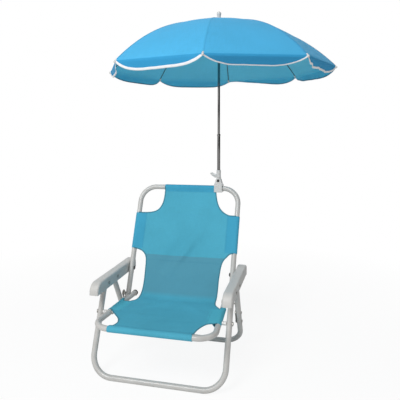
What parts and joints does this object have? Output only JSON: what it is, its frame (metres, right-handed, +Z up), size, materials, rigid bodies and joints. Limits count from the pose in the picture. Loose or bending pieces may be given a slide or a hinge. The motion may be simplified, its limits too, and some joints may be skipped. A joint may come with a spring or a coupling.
{
  "type": "umbrella chair",
  "caption": "Low folding sling chair for a child, with armrests and a clamped-on umbrella that tilts, lifts and folds.",
  "frame": {"origin": "on the ground, under the middle of the front ground bar", "axes": "+Z up; the sitter faces -Y; +X is the sitter's left"},
  "size_m": [0.7178, 0.7727, 1.0336],
  "materials": {
    "paint": "warm grey-white powder coat",
    "arm_plastic": "moulded off-white plastic, satin",
    "white_plastic": "white moulded plastic",
    "dark_plastic": "dark caps and spacers",
    "zinc": "zinc plated steel",
    "chrome": "chromed tube",
    "sling_cloth": "cyan-teal woven polyester",
    "canopy_cloth": "sky blue woven polyester with white hem"
  },
  "bodies": {
    "seat": {"seat_frame": "paint", "sling_seat": "sling_cloth", "seat_cap_left": "dark_plastic", "hinge_bolt_left": "zinc", "hinge_spacer_left": "zinc", "seat_leg_bolt_left": "zinc", "seat_leg_spacer_left": "dark_plastic", "seat_cap_right": "dark_plastic", "hinge_bolt_right": "zinc", "hinge_spacer_right": "zinc", "seat_leg_bolt_right": "zinc", "seat_leg_spacer_right": "dark_plastic"},
    "front_leg": {"front_leg_frame": "paint"},
    "armrests": {"armrest_left": "arm_plastic", "arm_front_rivet_left": "arm_plastic", "arm_leg_rivet_left": "dark_plastic", "armrest_right": "arm_plastic", "arm_front_rivet_right": "arm_plastic", "arm_leg_rivet_right": "dark_plastic"},
    "rear_leg": {"rear_leg_frame": "paint", "guide_plate_left": "zinc", "plate_rivet_left_1": "dark_plastic", "plate_rivet_left_2": "dark_plastic", "guide_plate_right": "zinc", "plate_rivet_right_1": "dark_plastic", "plate_rivet_right_2": "dark_plastic"},
    "back": {"back_frame": "paint", "sling_back": "sling_cloth", "back_cap_left": "dark_plastic", "arm_back_bolt_left": "zinc", "back_cap_right": "dark_plastic", "arm_back_bolt_right": "zinc"},
    "clamp": {"clamp_body": "white_plastic", "tilt_bolt": "zinc"},
    "clamp_screw": {"clamp_screw": "white_plastic"},
    "tilt_head": {"tilt_head": "white_plastic"},
    "pole_lock_screw": {"pole_lock_screw": "white_plastic"},
    "pole": {"pole_lower": "chrome", "pole_upper": "chrome", "crown": "white_plastic", "finial": "white_plastic", "canopy": "canopy_cloth"},
    "snap_button": {"snap_button": "chrome"},
    "runner": {"runner": "white_plastic"},
    "rib_1": {"rib_1": "zinc"},
    "stretcher_1": {"stretcher_1": "zinc"},
    "rib_2": {"rib_2": "zinc"},
    "stretcher_2": {"stretcher_2": "zinc"},
    "rib_3": {"rib_3": "zinc"},
    "stretcher_3": {"stretcher_3": "zinc"},
    "rib_4": {"rib_4": "zinc"},
    "stretcher_4": {"stretcher_4": "zinc"},
    "rib_5": {"rib_5": "zinc"},
    "stretcher_5": {"stretcher_5": "zinc"},
    "rib_6": {"rib_6": "zinc"},
    "stretcher_6": {"stretcher_6": "zinc"},
    "rib_7": {"rib_7": "zinc"},
    "stretcher_7": {"stretcher_7": "zinc"},
    "rib_8": {"rib_8": "zinc"},
    "stretcher_8": {"stretcher_8": "zinc"}
  },
  "joints": [
    {"name": "chair_fold", "type": "hinge", "parent": "seat", "child": "front_leg", "pos_m": [0, 0.07375, 0.166], "axis": [1, 0, 0], "range_deg": [0, 95]},
    {"name": "armrest_turn", "type": "hinge", "parent": "front_leg", "child": "armrests", "pos_m": [0, 0.10866, 0.24086], "axis": [1, 0, 0], "range_deg": [-95, 0]},
    {"name": "rear_leg_turn", "type": "hinge", "parent": "armrests", "child": "rear_leg", "pos_m": [0, 0.16966, 0.24086], "axis": [1, 0, 0], "range_deg": [0, 46.08]},
    {"name": "back_fold", "type": "hinge", "parent": "seat", "child": "back", "pos_m": [0, 0.22395, 0.166], "axis": [1, 0, 0], "range_deg": [0, 95]},
    {"name": "clamp_turn", "type": "hinge", "parent": "back", "child": "clamp", "pos_m": [0.0985, 0.37651, 0.49318], "axis": [1, 0, 0], "range_deg": [-30, 30]},
    {"name": "clamp_screw_turn", "type": "hinge", "parent": "clamp", "child": "clamp_screw", "pos_m": [0.0985, 0.37651, 0.49318], "axis": [0, 1, 0], "range_deg": [0, 360]},
    {"name": "umbrella_tilt", "type": "hinge", "parent": "clamp", "child": "tilt_head", "pos_m": [0.0985, 0.37651, 0.51958], "axis": [0, 1, 0], "range_deg": [-30, 30]},
    {"name": "lock_screw_turn", "type": "hinge", "parent": "tilt_head", "child": "pole_lock_screw", "pos_m": [0.0985, 0.37651, 0.53718], "axis": [1, 0, 0], "range_deg": [0, 360]},
    {"name": "pole_lift", "type": "slide", "parent": "tilt_head", "child": "pole", "axis": [0, 0, 1], "range_m": [0, 0.012]},
    {"name": "snap_press", "type": "slide", "parent": "pole", "child": "snap_button", "axis": [0, 1, 0], "range_m": [0, 0.0016], "stiffness_N_per_m": 500, "springref_m": -0.001},
    {"name": "umbrella_close", "type": "slide", "parent": "pole", "child": "runner", "axis": [0, 0, -1], "range_m": [0, 0.20047], "deforming": ["canopy"]},
    {"name": "rib_1_turn", "type": "hinge", "parent": "pole", "child": "rib_1", "pos_m": [0.10896, 0.37745, 1.00578], "axis": [-0.0889, 0.996, 0], "range_deg": [0, 65]},
    {"name": "stretcher_1_turn", "type": "hinge", "parent": "rib_1", "child": "stretcher_1", "pos_m": [0.23197, 0.38843, 0.98552], "axis": [-0.0889, 0.996, 0], "range_deg": [-130, 0]},
    {"name": "rib_2_turn", "type": "hinge", "parent": "pole", "child": "rib_2", "pos_m": [0.10524, 0.38457, 1.00578], "axis": [-0.7672, 0.6414, 0], "range_deg": [0, 65]},
    {"name": "stretcher_2_turn", "type": "hinge", "parent": "rib_2", "child": "stretcher_2", "pos_m": [0.18445, 0.47931, 0.98552], "axis": [-0.7672, 0.6414, 0], "range_deg": [-130, 0]},
    {"name": "rib_3_turn", "type": "hinge", "parent": "pole", "child": "rib_3", "pos_m": [0.09757, 0.38697, 1.00578], "axis": [-0.996, -0.0889, 0], "range_deg": [0, 65]},
    {"name": "stretcher_3_turn", "type": "hinge", "parent": "rib_3", "child": "stretcher_3", "pos_m": [0.08659, 0.50998, 0.98552], "axis": [-0.996, -0.0889, 0], "range_deg": [-130, 0]},
    {"name": "rib_4_turn", "type": "hinge", "parent": "pole", "child": "rib_4", "pos_m": [0.09044, 0.38325, 1.00578], "axis": [-0.6414, -0.7672, 0], "range_deg": [0, 65]},
    {"name": "stretcher_4_turn", "type": "hinge", "parent": "rib_4", "child": "stretcher_4", "pos_m": [-0.0043, 0.46247, 0.98552], "axis": [-0.6414, -0.7672, 0], "range_deg": [-130, 0]},
    {"name": "rib_5_turn", "type": "hinge", "parent": "pole", "child": "rib_5", "pos_m": [0.08804, 0.37558, 1.00578], "axis": [0.0889, -0.996, 0], "range_deg": [0, 65]},
    {"name": "stretcher_5_turn", "type": "hinge", "parent": "rib_5", "child": "stretcher_5", "pos_m": [-0.03497, 0.3646, 0.98552], "axis": [0.0889, -0.996, 0], "range_deg": [-130, 0]},
    {"name": "rib_6_turn", "type": "hinge", "parent": "pole", "child": "rib_6", "pos_m": [0.09176, 0.36846, 1.00578], "axis": [0.7672, -0.6414, 0], "range_deg": [0, 65]},
    {"name": "stretcher_6_turn", "type": "hinge", "parent": "rib_6", "child": "stretcher_6", "pos_m": [0.01255, 0.27371, 0.98552], "axis": [0.7672, -0.6414, 0], "range_deg": [-130, 0]},
    {"name": "rib_7_turn", "type": "hinge", "parent": "pole", "child": "rib_7", "pos_m": [0.09943, 0.36606, 1.00578], "axis": [0.996, 0.0889, 0], "range_deg": [0, 65]},
    {"name": "stretcher_7_turn", "type": "hinge", "parent": "rib_7", "child": "stretcher_7", "pos_m": [0.11041, 0.24304, 0.98552], "axis": [0.996, 0.0889, 0], "range_deg": [-130, 0]},
    {"name": "rib_8_turn", "type": "hinge", "parent": "pole", "child": "rib_8", "pos_m": [0.10656, 0.36978, 1.00578], "axis": [0.6414, 0.7672, 0], "range_deg": [0, 65]},
    {"name": "stretcher_8_turn", "type": "hinge", "parent": "rib_8", "child": "stretcher_8", "pos_m": [0.2013, 0.29056, 0.98552], "axis": [0.6414, 0.7672, 0], "range_deg": [-130, 0]}
  ],
  "couplings": [
    {"joint": "armrest_turn", "follows": "chair_fold", "ratio": -1},
    {"joint": "rear_leg_turn", "follows": "chair_fold", "ratio": 0.485},
    {"joint": "back_fold", "follows": "chair_fold", "ratio": 1},
    {"joint": "rib_1_turn", "follows": "umbrella_close", "rad_per_m": 5.6591},
    {"joint": "stretcher_1_turn", "follows": "umbrella_close", "rad_per_m": -11.318},
    {"joint": "rib_2_turn", "follows": "umbrella_close", "rad_per_m": 5.6591},
    {"joint": "stretcher_2_turn", "follows": "umbrella_close", "rad_per_m": -11.318},
    {"joint": "rib_3_turn", "follows": "umbrella_close", "rad_per_m": 5.6591},
    {"joint": "stretcher_3_turn", "follows": "umbrella_close", "rad_per_m": -11.318},
    {"joint": "rib_4_turn", "follows": "umbrella_close", "rad_per_m": 5.6591},
    {"joint": "stretcher_4_turn", "follows": "umbrella_close", "rad_per_m": -11.318},
    {"joint": "rib_5_turn", "follows": "umbrella_close", "rad_per_m": 5.6591},
    {"joint": "stretcher_5_turn", "follows": "umbrella_close", "rad_per_m": -11.318},
    {"joint": "rib_6_turn", "follows": "umbrella_close", "rad_per_m": 5.6591},
    {"joint": "stretcher_6_turn", "follows": "umbrella_close", "rad_per_m": -11.318},
    {"joint": "rib_7_turn", "follows": "umbrella_close", "rad_per_m": 5.6591},
    {"joint": "stretcher_7_turn", "follows": "umbrella_close", "rad_per_m": -11.318},
    {"joint": "rib_8_turn", "follows": "umbrella_close", "rad_per_m": 5.6591},
    {"joint": "stretcher_8_turn", "follows": "umbrella_close", "rad_per_m": -11.318}
  ]
}
